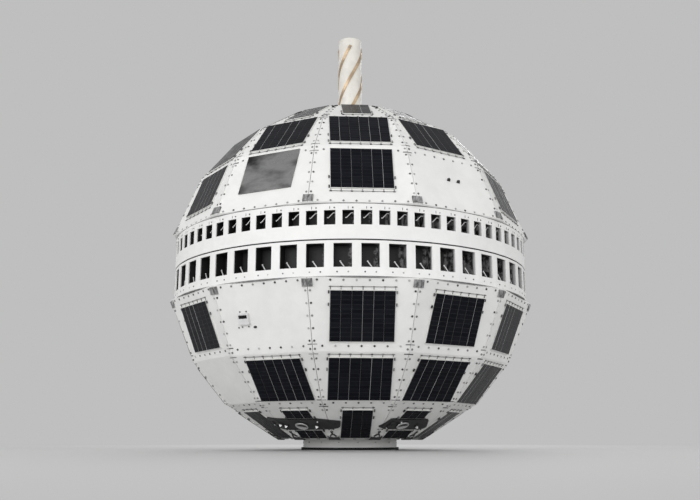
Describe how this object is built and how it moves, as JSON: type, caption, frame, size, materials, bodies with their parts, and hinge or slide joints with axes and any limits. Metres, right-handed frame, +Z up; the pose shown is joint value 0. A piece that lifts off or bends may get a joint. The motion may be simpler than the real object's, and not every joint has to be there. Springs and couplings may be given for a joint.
{
  "type": "communications satellite",
  "caption": "Near-spherical faceted spin-stabilised satellite with solar modules, a waist band of antenna ports, a pole antenna and a round launcher adapter ring it stands on.",
  "frame": {"origin": "middle of the adapter ring's lower face, on the surface the satellite stands on", "axes": "+Z up along the spin axis, -Y out through the middle of facet 0, +X to the right of it"},
  "size_m": [0.8756, 0.8756, 1.0775],
  "materials": {
    "white_coat": "matt ceramic-like white coat",
    "frame_metal": "satin bare metal",
    "cell_black": "clear-covered dark solar cells",
    "tray_pale": "pale ceramic tray",
    "port_dark": "dull black inside of the ports",
    "slot_dark": "dull black",
    "pad_grey": "brushed grey",
    "detector_grey": "satin dark grey",
    "knob_grey": "satin",
    "mirror_grey": "polished panel",
    "flange_dark": "dark anodised",
    "floor_pale": "matt pale grey",
    "fibreglass": "bonded glass fibre, matt",
    "tape_copper": "bare metal tape"
  },
  "bodies": {
    "root": {"adapter_barrel": "white_coat", "adapter_flange": "flange_dark", "adapter_throat": "white_coat", "antenna_base": "white_coat", "antenna_cap": "fibreglass", "antenna_helix": "tape_copper", "antenna_tube": "fibreglass", "aspect_sensors": "detector_grey", "band_skin_lower": "white_coat", "band_skin_upper": "white_coat", "canister": "frame_metal", "cells_lower_end": "cell_black", "cells_lower_middle": "cell_black", "cells_lower_waist": "cell_black", "cells_upper_end": "cell_black", "cells_upper_middle": "cell_black", "cells_upper_waist": "cell_black", "corner_pads": "pad_grey", "detector_knobs": "knob_grey", "detector_plates": "detector_grey", "end_brackets": "slot_dark", "end_pan": "white_coat", "end_ring": "white_coat", "frame_lower": "frame_metal", "frame_upper": "frame_metal", "mirror_panel": "mirror_grey", "port_ring_lower": "port_dark", "port_ring_upper": "port_dark", "skin_lower_end": "white_coat", "skin_lower_middle": "white_coat", "skin_lower_waist": "white_coat", "skin_upper_end": "white_coat", "skin_upper_middle": "white_coat", "skin_upper_waist": "white_coat", "throat_floor": "floor_pale", "top_deck": "white_coat", "tray_lower_end": "tray_pale", "tray_lower_middle": "tray_pale", "tray_lower_waist": "tray_pale", "tray_upper_end": "tray_pale", "tray_upper_middle": "tray_pale", "tray_upper_waist": "tray_pale", "waist_ring": "slot_dark"}
  },
  "joints": []
}
